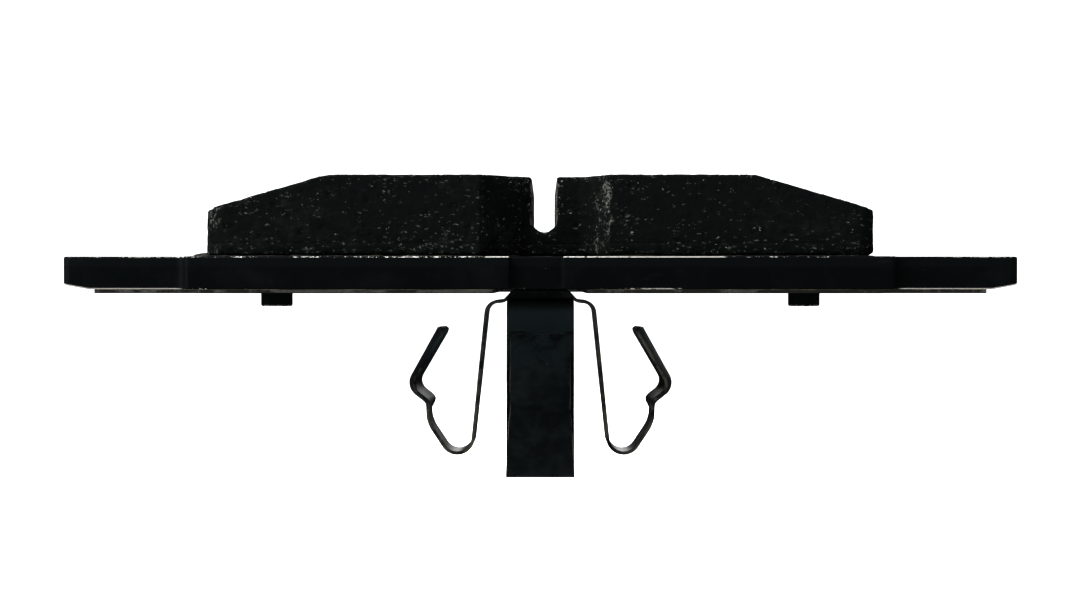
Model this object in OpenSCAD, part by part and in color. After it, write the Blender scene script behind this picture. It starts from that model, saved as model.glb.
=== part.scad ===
// Disc brake pad with a clip that snaps into the hollow caliper piston.
// Millimetres. The origin is on the clip's axis, on the back face of the backing plate.
// +Z points to the disc, +X along the pad, and -Y to the straight edge of the plate.

/* [Backing plate] */
// Length of the plate between the roots of its two ears
body_length = 116; // [100:1:130]
// Length of each ear beyond the body
ear_length = 20.8; // [14:0.1:26]
// Height of each ear, measured across the pad
ear_height = 18; // [12:0.5:21]
// How far the ears stand back from the straight edge
ear_setback = 4; // [1:0.5:8]
// Height of the whole plate, measured across the pad
plate_height = 66; // [54:0.5:80]
// Distance from the clip's axis to the straight edge
straight_edge = 31; // [27:0.5:37]
// Radius of the curved edge
curve_radius = 95; // [88:1:160]
// Thickness of the plate
plate_thick = 5.4; // [4:0.1:8]
// Corner radius at the ends of the ears
ear_corner = 1.6; // [0.5:0.1:3]
// Corner radius where the curved edge meets the ends
far_corner = 7; // [3:0.5:10]
// Radius in the inner corners between ears and body
ear_root_radius = 2; // [0.5:0.1:2.5]
// Length of the rolled-over edge at the ends of the ears, on the back face
roll_length = 4.5; // [2:0.1:6]
// Depth of that rolled-over edge
roll_depth = 0.8; // [0.3:0.1:1.2]
// Width of the notch in the straight edge
edge_notch_width = 8.6; // [5:0.1:10]
// Depth of that notch
edge_notch_depth = 2; // [0.5:0.1:3]
// Sideways place of that notch
edge_notch_x = -0.6; // [-2:0.1:2]

/* [Pips and keying holes] */
// Diameter of the two pips pressed out of the back face
pip_diameter = 5.3; // [4:0.1:7]
// How far the pips stand out of the back face
pip_height = 2.9; // [1.5:0.1:4]
// Distance of each pip from the end of the body
pip_from_end = 13.2; // [9:0.1:18]
// Distance of the pips from the clip's axis towards the straight edge
pip_y = 18; // [10:0.5:22]
// Depth of the hollow that each pip leaves in the front face
pip_hollow_depth = 2.5; // [1:0.1:3]
// Diameter of the two holes that key the lining to the plate
key_diameter = 11; // [6:0.5:14]
// Sideways distance of each keying hole
key_x = 31; // [24:0.5:34]
// Distance of the keying holes from the clip's axis towards the curved edge
key_y = 4; // [0:0.5:8]

/* [Lining] */
// Thickness of the whole pad without the clip and the shim
pad_thick = 18.8; // [15:0.1:24]
// Thickness of the adhesive film on the plate
bond_thick = 0.15; // [0.1:0.05:0.3]
// Thickness of the underlayer
underlayer_thick = 2; // [1:0.1:2.5]
// Gap between the end of the body and the end of the lining
lining_end_gap = 3; // [2:0.1:8]
// Gap between the straight edge and the lining
lining_near_gap = 2; // [1:0.1:4]
// Gap between the curved edge and the lining
lining_far_gap = 4; // [2:0.1:8]
// Corner radius of the lining at the straight edge
lining_near_corner = 3.6; // [1:0.1:6]
// Corner radius of the lining at the curved edge
lining_far_corner = 5; // [1:0.1:6]
// Length of each chamfer on the friction face
chamfer_length = 20; // [5:0.1:30]
// Drop of each chamfer at the end of the lining
chamfer_drop = 5.8; // [2:0.1:7]
// Width of the slot across the lining
slot_width = 4.1; // [2:0.1:6]
// Sideways place of that slot
slot_x = 0.7; // [-2:0.1:2]
// Height of the slot's floor over the front face of the plate
slot_floor = 4.1; // [3:0.1:6]
// Depth of the recess in the lining's near face
recess_depth = 6.5; // [2:0.1:9]
// Width of the recess's floor
recess_floor = 8.9; // [8:0.1:12]
// Sideways place of the middle of the recess's floor
recess_x = 2.5; // [0:0.1:3]
// Length of the gentle slope on the left of the recess
recess_left_run = 7.8; // [2:0.1:12]
// Length of the steep slope on the right of the recess
recess_right_run = 4.4; // [2:0.1:8]

/* [Shim] */
// Thickness of the adhesive that holds the shim
shim_glue_thick = 0.08; // [0.05:0.01:0.15]
// Thickness of the shim's steel core
shim_core_thick = 0.45; // [0.3:0.05:0.8]
// Thickness of the shim's rubber coating
shim_rubber_thick = 0.12; // [0.08:0.01:0.3]
// Gap between the plate's edge and the shim's edge
shim_edge_gap = 1.6; // [1:0.1:3]
// Gap between the end of the ear and the end of the shim
shim_end_gap = 4.6; // [3:0.1:8]
// Clearance around each pip
shim_pip_clearance = 0.35; // [0.2:0.05:0.8]
// Clearance beside the clip's base in the shim's cut-out
shim_clip_clearance = 1.8; // [1:0.1:4]

/* [Piston clip] */
// Thickness of the spring steel
strip = 0.6; // [0.4:0.05:0.7]
// Width of the two side arms at the base
side_width = 10; // [8:0.1:12]
// Width of the front arm
front_width = 11.8; // [8:0.1:13]
// Width of a side finger at its fold
side_fold_width = 8; // [6:0.1:9]
// Width of a side finger at its neck
side_neck_width = 8; // [6:0.1:9]
// Width of a side finger's head
side_head_width = 15; // [10:0.1:16]
// Width of the front finger's head
front_head_width = 10.2; // [8:0.1:12]
// Corner radius at the tip of each head
head_corner = 1.6; // [0.5:0.1:2.5]
// Distance from the axis to the bend at the edge of the flat seat
seat_half = 4.7; // [4.7:0.1:5.2]
// Distance of the elbow from the axis, where the arm levels out again
elbow_x = 6.4; // [6.3:0.1:6.7]
// Drop of the elbow under the back face
elbow_drop = 2.15; // [1.6:0.05:2.3]
// Distance of the shoulder bend from the axis
shoulder_x = 9.5; // [9:0.1:11]
// Drop of the shoulder bend under the back face
shoulder_drop = 2.5; // [2.4:0.05:3]
// Distance of the kink from the axis, where the finger bears on the piston
kink_x = 24.1; // [23:0.05:26]
// Drop of the kink under the back face
kink_drop = 17.5; // [16.5:0.05:18]
// Distance of the neck from the axis
neck_x = 20.5; // [20.2:0.1:21]
// Drop of the neck's bend under the back face
neck_drop = 20.4; // [20.2:0.1:21]
// Distance from the axis to the bow in the outer run
bow_x = 19.9; // [19.5:0.1:20.2]
// Drop of that bow under the back face
bow_drop = 24.2; // [23.8:0.1:25]
// Distance of the free tip from the axis
tip_x = 18.3; // [16:0.1:20]
// Drop of a side finger's tip
side_tip_drop = 7; // [5:0.1:9]
// Drop of the front finger's tip
front_tip_drop = 7.6; // [5:0.1:9]
// Drop of the point where the two runs of a side finger would meet
side_fold_drop = 34.8; // [30:0.1:40]
// Drop of the point where the two runs of the front finger would meet
front_fold_drop = 38; // [32:0.1:44]
// Distance of both those points from the axis
fold_x = 12.9; // [12:0.1:14]
// Bend radius of a side finger's fold
side_fold_radius = 2.85; // [2:0.05:3.2]
// Bend radius of the front finger's fold
front_fold_radius = 2.3; // [1.8:0.05:3]
// Bend radius of the kink
kink_radius = 2.4; // [1.5:0.1:3]
// Bend radius of the neck
neck_radius = 1.5; // [1:0.1:2]
// Bend radius of the bow
bow_radius = 6; // [3:0.5:7]
// Bend radius of the shoulder
shoulder_radius = 2.1; // [1.5:0.1:2.5]
// Bend radius at the edge of the flat seat
seat_radius = 1.5; // [1:0.1:1.6]
// Bend radius of the elbow
elbow_radius = 1.5; // [1:0.1:1.6]
// Gap at the flexing line between the base and each finger
flex_gap = 0.1; // [0.08:0.01:0.2]

/* [Rivet] */
// Diameter of the rivet's shank
rivet_diameter = 4; // [3:0.1:5]
// Diameter of the rivet's head
rivet_head_diameter = 6.4; // [5:0.1:6.6]
// Height of the rivet's head
rivet_head_height = 1.4; // [0.8:0.1:2]
// Depth of the rivet's flared tail in the plate
rivet_tail_depth = 1.2; // [0.6:0.1:2]
// Clearance around the rivet
rivet_clearance = 0.05; // [0.02:0.01:0.1]

/* [Hidden] */
$fn = 64;
eps = 0.5;
fit_gap = 0.02;
arc_steps = 10;
curve_steps = 20;

far_edge = plate_height - straight_edge;
body_half = body_length / 2;
plate_half = body_half + ear_length;
pip_x = body_half - pip_from_end;
ear_near = straight_edge - ear_setback;
ear_far = ear_near - ear_height;
lining_base = plate_thick + bond_thick;
friction_base = lining_base + underlayer_thick;
lining_half = body_half - lining_end_gap;
shim_thick = shim_glue_thick + shim_core_thick + shim_rubber_thick;
shim_cut_half = max(side_width, front_width) / 2 + shim_clip_clearance;
near_corner = 1.2;
head_flare = 1.3;
head_drop = neck_drop + head_flare;
flare_corner = 1.6;
flat_angle = 7;
front_neck_extra = 0.4;
straight_leg = 2.5;
leg_top_drop = shoulder_drop + straight_leg;
fold_taper = 2.6;
flex_lead = 0.3;
tail_gap = 0.1;
spare = 4;

// The point at a distance from the origin, in the direction of an angle.
function polar(radius, angle) = radius * [cos(angle), sin(angle)];

// Points along an arc, from one angle to another.
function arc(centre, radius, from, to) =
    [for (k = [0 : arc_steps]) centre + polar(radius, from + (to - from) * k / arc_steps)];

function unit(v) = v / norm(v);
function left_of(v) = [-v[1], v[0]];
function turned(v, angle) = [v[0] * cos(angle) - v[1] * sin(angle), v[0] * sin(angle) + v[1] * cos(angle)];
function cross_of(a, b) = a[0] * b[1] - a[1] * b[0];

// The arc that rounds corner b between a and c, moved sideways to the left by shift.
function bend(a, b, c, radius, shift = 0) =
    let (into = unit(b - a),
         out = unit(c - b),
         side = sign(cross_of(into, out)),
         angle = acos(into * out),
         start = b - into * radius * tan(angle / 2),
         centre = start + left_of(into) * side * radius,
         arm = left_of(into) * -side * (radius - side * shift))
    [for (k = [0 : arc_steps]) centre + turned(arm, side * angle * k / arc_steps)];

// A closed outline whose every corner has its own radius; 0 keeps the corner.
function rounded(points, radii) =
    let (n = len(points))
    [for (i = [0 : n - 1])
        each radii[i] == 0 ? [points[i]]
                           : bend(points[(i + n - 1) % n], points[i], points[(i + 1) % n], radii[i])];

// One side of a bent strip, moved sideways from its middle line.
function strip_side(path, radii, shift) =
    let (last = len(path) - 1)
    concat([path[0] + left_of(unit(path[1] - path[0])) * shift],
           [for (i = [1 : last - 1]) each bend(path[i - 1], path[i], path[i + 1], radii[i - 1], shift)],
           [path[last] + left_of(unit(path[last] - path[last - 1])) * shift]);

function reversed(list) = [for (i = [len(list) - 1 : -1 : 0]) list[i]];

function strip_outline(path, radii) =
    concat(strip_side(path, radii, strip / 2), reversed(strip_side(path, radii, -strip / 2)));

// Where the curved edge, moved in by inset, stands at a sideways place x.
function curve_y(x, inset) =
    far_edge - curve_radius + sqrt(pow(curve_radius - inset, 2) - x * x);

// Half outline of a plate-like piece: right side, from the straight edge to the crown.
function half_body(half, inset, corner) =
    let (centre = [0, far_edge - curve_radius],
         radius = curve_radius - inset,
         fillet_x = half - corner,
         fillet_centre = [fillet_x, centre[1] + sqrt(pow(radius - corner, 2) - fillet_x * fillet_x)],
         meet = atan2(fillet_centre[1] - centre[1], fillet_centre[0]))
    concat(arc(fillet_centre, corner, 0, meet),
           [for (k = [1 : curve_steps]) centre + polar(radius, meet + (90 - meet) * k / curve_steps)]);

function mirrored(points) = [for (p = points) [-p[0], p[1]]];

// A whole outline from its right half, which runs from the straight edge to the crown.
module symmetric_outline(right_half) {
    polygon(concat(right_half, reversed(mirrored(right_half))));
}

// Outline with ears. The gaps are taken in from the plate's own edge and from the ears' ends.
module eared_outline(edge_gap, end_gap, tip_radius) {
    near = -(straight_edge - edge_gap);
    low = -(ear_near - edge_gap);
    high = -(ear_far + edge_gap);
    half = body_half - edge_gap;
    tip = plate_half - end_gap;
    corners = [[half, near], [half, low], [tip, low], [tip, high], [half, high]];
    rounding = [near_corner, ear_root_radius, tip_radius, tip_radius, ear_root_radius];
    path = concat([[0, near]], corners, [[half, far_edge]]);
    ear = [for (i = [1 : len(corners)]) each bend(path[i - 1], path[i], path[i + 1], rounding[i - 1])];
    symmetric_outline(concat(ear, half_body(half, edge_gap, far_corner)));
}

// Outline of the lining, with the recess in its near face.
module lining_outline() {
    near = -(straight_edge - lining_near_gap);
    path = [[0, near], [lining_half, near], [lining_half, far_edge]];
    near_corner = bend(path[0], path[1], path[2], lining_near_corner);
    floor_left = recess_x - recess_floor / 2;
    floor_right = recess_x + recess_floor / 2;
    difference() {
        symmetric_outline(concat(near_corner, half_body(lining_half, lining_far_gap, lining_far_corner)));
        polygon([[floor_left - recess_left_run, near],
                 [floor_left, near + recess_depth],
                 [floor_right, near + recess_depth],
                 [floor_right + recess_right_run, near],
                 [floor_right + recess_right_run, near - eps],
                 [floor_left - recess_left_run, near - eps]]);
    }
}

// Places of the pips and of the keying holes.
module at_pips() {
    for (side = [-1, 1]) translate([side * pip_x, -pip_y, 0]) children();
}

module at_keys() {
    for (side = [-1, 1]) translate([side * key_x, key_y, 0]) children();
}

// Steel plate with its pips, keying holes and rivet hole.
module backing_plate() {
    hole = rivet_diameter / 2 + rivet_clearance;
    flare = rivet_head_diameter / 2 + rivet_clearance;
    color([0.05, 0.05, 0.055]) difference() {
        union() {
            linear_extrude(plate_thick) eared_outline(0, 0, ear_corner);
            at_pips() translate([0, 0, -pip_height]) cylinder(d = pip_diameter, h = pip_height + eps);
        }
        translate([edge_notch_x - edge_notch_width / 2, -straight_edge - eps, -eps])
            cube([edge_notch_width, edge_notch_depth + eps, plate_thick + 2 * eps]);
        at_keys() translate([0, 0, -eps]) cylinder(d = key_diameter, h = plate_thick + 2 * eps);
        at_pips() translate([0, 0, plate_thick - pip_hollow_depth])
            cylinder(d = pip_diameter, h = pip_hollow_depth + eps);
        translate([0, 0, -eps]) cylinder(r = hole, h = plate_thick + 2 * eps);
        translate([0, 0, plate_thick - rivet_tail_depth])
            cylinder(r1 = hole, r2 = hole + 2 * (flare - hole), h = 2 * rivet_tail_depth);
        for (side = [0, 1]) mirror([side, 0, 0]) translate([plate_half - roll_length, 0, 0])
            rotate([0, -atan2(roll_depth, roll_length), 0])
                translate([0, -straight_edge, -spare]) cube([2 * roll_length, 2 * straight_edge, spare]);
    }
}

// Adhesive film between the plate and the lining.
module bonding_film() {
    color([0.10, 0.08, 0.06]) translate([0, 0, plate_thick]) difference() {
        linear_extrude(bond_thick) lining_outline();
        at_keys() translate([0, 0, -eps]) cylinder(d = key_diameter, h = bond_thick + 2 * eps);
        at_pips() translate([0, 0, -eps]) cylinder(d = pip_diameter, h = bond_thick + 2 * eps);
    }
}

// Underlayer, with the plugs that fill the keying holes and the hollows of the pips.
module underlayer() {
    overlap = 0.5;
    color([0.13, 0.12, 0.11]) {
        translate([0, 0, lining_base]) linear_extrude(underlayer_thick) lining_outline();
        at_keys() translate([0, 0, fit_gap])
            cylinder(d = key_diameter - 2 * fit_gap, h = lining_base - fit_gap + overlap);
        at_pips() translate([0, 0, plate_thick - pip_hollow_depth + fit_gap])
            cylinder(d = pip_diameter - 2 * fit_gap, h = pip_hollow_depth - fit_gap + bond_thick + overlap);
    }
}

// Friction material with its slot and its two chamfers.
module friction_block() {
    far = far_edge + eps;
    near = straight_edge + eps;
    color([0.09, 0.09, 0.085]) difference() {
        translate([0, 0, friction_base]) linear_extrude(pad_thick - friction_base) lining_outline();
        translate([slot_x, far, 0]) rotate([90, 0, 0]) linear_extrude(far + near) {
            translate([0, plate_thick + slot_floor + slot_width / 2]) circle(d = slot_width);
            translate([-slot_width / 2, plate_thick + slot_floor + slot_width / 2])
                square([slot_width, pad_thick]);
        }
        for (side = [0, 1]) mirror([side, 0, 0])
            translate([lining_half - chamfer_length, far, pad_thick]) rotate([90, 0, 0])
                linear_extrude(far + near)
                    polygon([[0, 0], [chamfer_length, -chamfer_drop],
                             [2 * chamfer_length, -2 * chamfer_drop], [2 * chamfer_length, eps], [0, eps]]);
    }
}

// One layer of the shim, between two depths under the back face.
module shim_layer(top, thick) {
    translate([0, 0, -top - thick]) difference() {
        linear_extrude(thick) difference() {
            eared_outline(shim_edge_gap, shim_end_gap, ear_corner);
            translate([-shim_cut_half, -straight_edge])
                square([2 * shim_cut_half, straight_edge + side_width]);
        }
        at_pips() translate([0, 0, -eps])
            cylinder(d = pip_diameter + 2 * shim_pip_clearance, h = thick + 2 * eps);
    }
}

module shim_adhesive() {
    color([0.55, 0.52, 0.40]) shim_layer(0, shim_glue_thick);
}

module shim_core() {
    color([0.45, 0.45, 0.46]) shim_layer(shim_glue_thick, shim_core_thick);
}

module shim_rubber() {
    color([0.03, 0.03, 0.03]) shim_layer(shim_glue_thick + shim_core_thick, shim_rubber_thick);
}

// Middle line of the clip's strip, seen from its edge: distance from the axis and height.
SEAT = [seat_half, -strip / 2];
ELBOW = [elbow_x, -elbow_drop];
SHOULDER = [shoulder_x, -shoulder_drop];
BOW = [bow_x, -bow_drop];
NECK = [neck_x, -neck_drop];
KINK = [kink_x, -kink_drop];
SLOPE = unit(SHOULDER - ELBOW);

function shoulder_turn(fold) = acos(SLOPE * unit(fold - SHOULDER));

// The line about which a finger flexes, just before its shoulder bend starts.
function flex_point(fold) = SHOULDER - SLOPE * (shoulder_radius * tan(shoulder_turn(fold) / 2) + flex_lead);

function finger_outline(fold_drop, fold_radius, tip_drop) =
    let (fold = [fold_x, -fold_drop])
    strip_outline([flex_point(fold) + SLOPE * flex_gap / 2, SHOULDER, fold, BOW, NECK, KINK,
                   [tip_x, -tip_drop]],
                  [shoulder_radius, fold_radius, bow_radius, neck_radius, kink_radius]);

// Centre of the fold's bend, which splits a finger into its inner and outer run.
function fold_centre_x(fold_drop, fold_radius) =
    let (fold = [fold_x, -fold_drop],
         up_in = unit(SHOULDER - fold),
         up_out = unit(BOW - fold),
         half = acos(up_in * up_out) / 2)
    fold_x + unit(up_in + up_out)[0] * fold_radius / sin(half);

// Extrudes an outline of [x, z] points along Y, both ways from the middle.
module across(width) {
    rotate([90, 0, 0]) linear_extrude(width, center = true) children();
}

// Extrudes an outline of [y, z] points along X.
module outward(length) {
    rotate([90, 0, 90]) linear_extrude(length) children();
}

// A finger that points along +X. Its inner run, fold and neck are flat across, and its head is
// bent round the clip's axis, as the wall of the piston is.
module finger(fold_drop, fold_radius, tip_drop, root_width, fold_width, neck_width, head_width) {
    middle = fold_centre_x(fold_drop, fold_radius);
    reach = kink_x + 2 * spare;
    floor = -fold_drop - spare;
    bend_top = -(fold_drop - fold_taper * fold_radius);
    widest = root_width + spare;
    outline = finger_outline(fold_drop, fold_radius, tip_drop);
    head_outline = rounded([[-neck_width / 2, -head_drop - eps], [neck_width / 2, -head_drop - eps],
                            [neck_width / 2, -head_drop], [head_width / 2, -head_drop + head_flare],
                            [head_width / 2, -tip_drop + strip / 4], [-head_width / 2, -tip_drop + strip / 4],
                            [-head_width / 2, -head_drop + head_flare], [-neck_width / 2, -head_drop]],
                           [0, 0, 0, flare_corner, head_corner, head_corner, flare_corner, 0]);
    // inner run, from the shoulder to the bottom of the fold
    intersection() {
        across(widest) intersection() {
            polygon(outline);
            translate([0, floor]) square([middle, -floor]);
        }
        outward(reach) polygon([[-root_width / 2, 0], [-root_width / 2, -leg_top_drop],
                                [-fold_width / 2, bend_top], [-fold_width / 2, floor],
                                [fold_width / 2, floor], [fold_width / 2, bend_top],
                                [root_width / 2, -leg_top_drop], [root_width / 2, 0]]);
    }
    // outer run, from the bottom of the fold to the neck
    intersection() {
        across(widest) intersection() {
            polygon(outline);
            translate([middle, floor]) square([reach, -head_drop - floor]);
        }
        outward(reach) polygon([[-fold_width / 2, floor], [fold_width / 2, floor],
                                [fold_width / 2, bend_top], [neck_width / 2, -head_drop],
                                [-neck_width / 2, -head_drop], [-fold_width / 2, bend_top]]);
    }
    // head, from the neck to the tip, as flats that follow the wall of the piston
    intersection() {
        union() for (flat = [-1 : 1]) intersection() {
            rotate([0, 0, 2 * flat * flat_angle]) across(head_width + spare) intersection() {
                polygon(outline);
                translate([middle, -head_drop]) square([reach, head_drop]);
            }
            translate([0, 0, floor]) linear_extrude(-floor)
                polygon([[0, 0], polar(2 * reach, (2 * flat - 1) * flat_angle),
                         polar(2 * reach, (2 * flat + 1) * flat_angle)]);
        }
        outward(reach) polygon(head_outline);
    }
}

// Middle part of the clip: a flat seat under the rivet, and three sloping arms.
module clip_base() {
    reach = 2 * shoulder_x;
    side_end = flex_point([fold_x, -side_fold_drop]) - SLOPE * flex_gap / 2;
    front_end = flex_point([fold_x, -front_fold_drop]) - SLOPE * flex_gap / 2;
    arm = strip_outline([[-side_end[0], side_end[1]], [-ELBOW[0], ELBOW[1]], [-SEAT[0], SEAT[1]],
                         SEAT, ELBOW, side_end],
                        [elbow_radius, seat_radius, seat_radius, elbow_radius]);
    nose = strip_outline([[-1, SEAT[1]], SEAT, ELBOW, front_end], [seat_radius, elbow_radius]);
    color([0.07, 0.07, 0.08]) difference() {
        union() {
            intersection() {
                across(side_width) polygon(arm);
                translate([0, 0, -reach]) linear_extrude(2 * reach)
                    polygon([[0, 0], [reach, -reach], [reach, reach], [-reach, reach], [-reach, -reach]]);
            }
            intersection() {
                rotate([0, 0, -90]) across(front_width) polygon(nose);
                translate([0, 0, -reach]) linear_extrude(2 * reach)
                    polygon([[0, 0], [-reach, -reach], [reach, -reach]]);
            }
        }
        translate([0, 0, -strip - eps])
            cylinder(r = rivet_diameter / 2 + rivet_clearance, h = strip + 2 * eps);
    }
}

module side_finger() {
    finger(side_fold_drop, side_fold_radius, side_tip_drop,
           side_width, side_fold_width, side_neck_width, side_head_width);
}

module right_finger() {
    color([0.06, 0.06, 0.07]) side_finger();
}

module left_finger() {
    color([0.06, 0.06, 0.07]) mirror([1, 0, 0]) side_finger();
}

module front_finger() {
    color([0.06, 0.06, 0.07]) rotate([0, 0, -90])
        finger(front_fold_drop, front_fold_radius, front_tip_drop,
               front_width, front_width, front_head_width + front_neck_extra, front_head_width);
}

// Rivet: domed head under the seat, shank through the plate and a flared tail.
module clip_rivet() {
    shank_radius = rivet_diameter / 2;
    head_radius = rivet_head_diameter / 2;
    tail_height = rivet_tail_depth - tail_gap;
    tail_radius = shank_radius + (head_radius - shank_radius) * tail_height / rivet_tail_depth;
    dome_radius = (pow(head_radius, 2) + pow(rivet_head_height, 2)) / (2 * rivet_head_height);
    color([0.35, 0.35, 0.37]) union() {
        translate([0, 0, -strip]) intersection() {
            translate([0, 0, dome_radius - rivet_head_height]) sphere(r = dome_radius);
            translate([0, 0, -rivet_head_height]) cylinder(r = head_radius, h = rivet_head_height);
        }
        translate([0, 0, -strip - eps]) cylinder(r = shank_radius, h = plate_thick + strip + eps - tail_gap);
        translate([0, 0, plate_thick - rivet_tail_depth])
            cylinder(r1 = shank_radius, r2 = tail_radius, h = tail_height);
    }
}

backing_plate();
bonding_film();
underlayer();
friction_block();
shim_adhesive();
shim_core();
shim_rubber();
clip_base();
left_finger();
right_finger();
front_finger();
clip_rivet();
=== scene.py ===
import math

import bmesh
import bpy
import numpy as np
from bpy.props import FloatProperty, FloatVectorProperty, PointerProperty
from bpy.types import Operator, Panel, PropertyGroup
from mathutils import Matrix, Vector, noise


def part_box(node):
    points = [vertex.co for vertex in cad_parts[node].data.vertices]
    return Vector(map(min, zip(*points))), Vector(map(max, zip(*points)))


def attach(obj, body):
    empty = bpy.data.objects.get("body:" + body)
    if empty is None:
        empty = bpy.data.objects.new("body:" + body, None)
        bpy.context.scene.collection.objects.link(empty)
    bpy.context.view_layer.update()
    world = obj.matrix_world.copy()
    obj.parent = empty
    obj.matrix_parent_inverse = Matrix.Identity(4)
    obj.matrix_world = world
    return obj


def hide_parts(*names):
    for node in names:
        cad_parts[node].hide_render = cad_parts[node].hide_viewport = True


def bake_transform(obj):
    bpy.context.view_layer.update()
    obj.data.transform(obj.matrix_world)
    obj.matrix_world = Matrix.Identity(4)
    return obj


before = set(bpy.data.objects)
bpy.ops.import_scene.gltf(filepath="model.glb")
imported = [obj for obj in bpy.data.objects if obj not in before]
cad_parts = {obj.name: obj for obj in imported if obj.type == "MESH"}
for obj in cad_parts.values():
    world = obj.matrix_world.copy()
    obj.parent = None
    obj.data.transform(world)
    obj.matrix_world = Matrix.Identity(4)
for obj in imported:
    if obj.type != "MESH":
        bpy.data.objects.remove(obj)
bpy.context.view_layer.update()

bl_info = {
    "name": "Brake pad looks",
    "version": (1, 0, 0),
    "blender": (4, 5, 0),
    "location": "View3D > Sidebar > Brake pad",
    "description": "Builds the detailed pieces and finishes of a disc brake pad round its packed frame",
    "category": "Object",
}

MM = 0.001
PAD = "pad"
SPACING = 0.3 * MM  # between the stations along a finger
LINING_SEED = 3
FLASH_SEED = 41
SKY_LIGHT = 0.2  # strength of the sky as a source of light
SKY_SEEN = 1.05  # strength of the sky where the camera looks at it

# Linear colours of stains and dirt, which aren't settings.
GLUE_STRINGS = (0.02, 0.018, 0.012)
SHEET_STAIN = (0.03, 0.03, 0.028)
SHEET_RUST = (0.14, 0.09, 0.035)
RIVET_RUST = (0.12, 0.065, 0.03)
SETTLED_DUST = (0.12, 0.12, 0.11)
NICKED_STEEL = (0.2, 0.2, 0.195)


# Sizes and colours -------------------------------------------------------------------------------

def size(name, millimetres, description):
    """A length that the user can change, given in millimetres."""
    return FloatProperty(name=name, description=description, default=millimetres * MM, unit="LENGTH",
                         precision=5)


def colour(name, rgb, description):
    """A linear colour that the user can change."""
    return FloatVectorProperty(name=name, description=description, default=rgb, size=3, subtype="COLOR",
                               min=0, max=1)


class PlateSettings(PropertyGroup):
    rim: size("Rim", 0.32, "Width of the rounded rims that blanking leaves")
    margin: size("Margin", 3.5, "Length of the plate's body past each end of the friction block")
    notch_half: size("Notch half width", 6, "Half width of the notch in the near edge")
    notch_lip: size("Notch lip", 0.4, "Half width of the band in which chips fade at the notch")
    coating: colour("Coating", (0.0035, 0.0053, 0.0057), "Black coating")
    faded: colour("Faded coating", (0.0105, 0.0125, 0.013), "Coating where it is thin or scuffed")
    bare: colour("Bare steel", (0.62, 0.61, 0.58), "Steel where the coating has chipped off")


class LiningSettings(PropertyGroup):
    grain: size("Grain", 0.42, "Size of the cells in which the surface is built")
    roughness: size("Roughness", 0.085, "Height of the grain on the moulded sides")
    pit: size("Pits", 0.26, "Depth of the pits")
    chip: size("Chips", 0.24, "Depth of the chips along the edges")
    lap: size("Lap", 0.8, "Length by which the friction block and its underlayer run into each other")
    dive: size("Dive", 0.4, "Depth to which each of them dives under the other there")
    flash: size("Flash", 0.38, "Mean width of the resin squeezed out round the foot")
    flash_height: size("Flash height", 0.14, "Mean height of the flash")
    flash_lump: size("Flash lump", 2.1, "Width that the lump at the left end adds")
    dark: colour("Compound", (0.004, 0.0056, 0.0058), "Dark friction compound")
    dusty: colour("Dusty compound", (0.021, 0.0235, 0.0215), "Compound with dust in its grain")
    mineral: colour("Mineral", (0.3, 0.3, 0.27), "Pale mineral grains")
    metal: colour("Metal fibre", (0.7, 0.69, 0.66), "Metal grains and fibres")
    sawn: colour("Sawn compound", (0.3, 0.31, 0.28), "Dusty walls of the sawn slot")
    slot_at: size("Slot place", 0.7, "Sideways place of the slot's middle")
    slot_half: size("Slot half width", 2.3, "Half width of the strip that the saw has dusted")
    # Where, away from the slot, the powder and painted highlight on the left-facing front faces start and
    # are fullest.
    powder_and_highlight_start: size("Dust start", 7, "Distance from the slot at which dust starts to settle in the recess")
    powder_and_highlight_full: size("Dust full", 8.8, "Distance from the slot at which the dust lies thickest")
    resin: colour("Resin", (0.03, 0.024, 0.016), "Resin of the bonding film and the flash")


class ShimSettings(PropertyGroup):
    glue: colour("Adhesive", (0.24, 0.22, 0.12), "Adhesive at the shim's edge")
    steel: colour("Steel", (0.3, 0.3, 0.3), "Sheet steel of the shim")
    rubber: colour("Rubber", (0.011, 0.011, 0.011), "Rubber coating")


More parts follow.
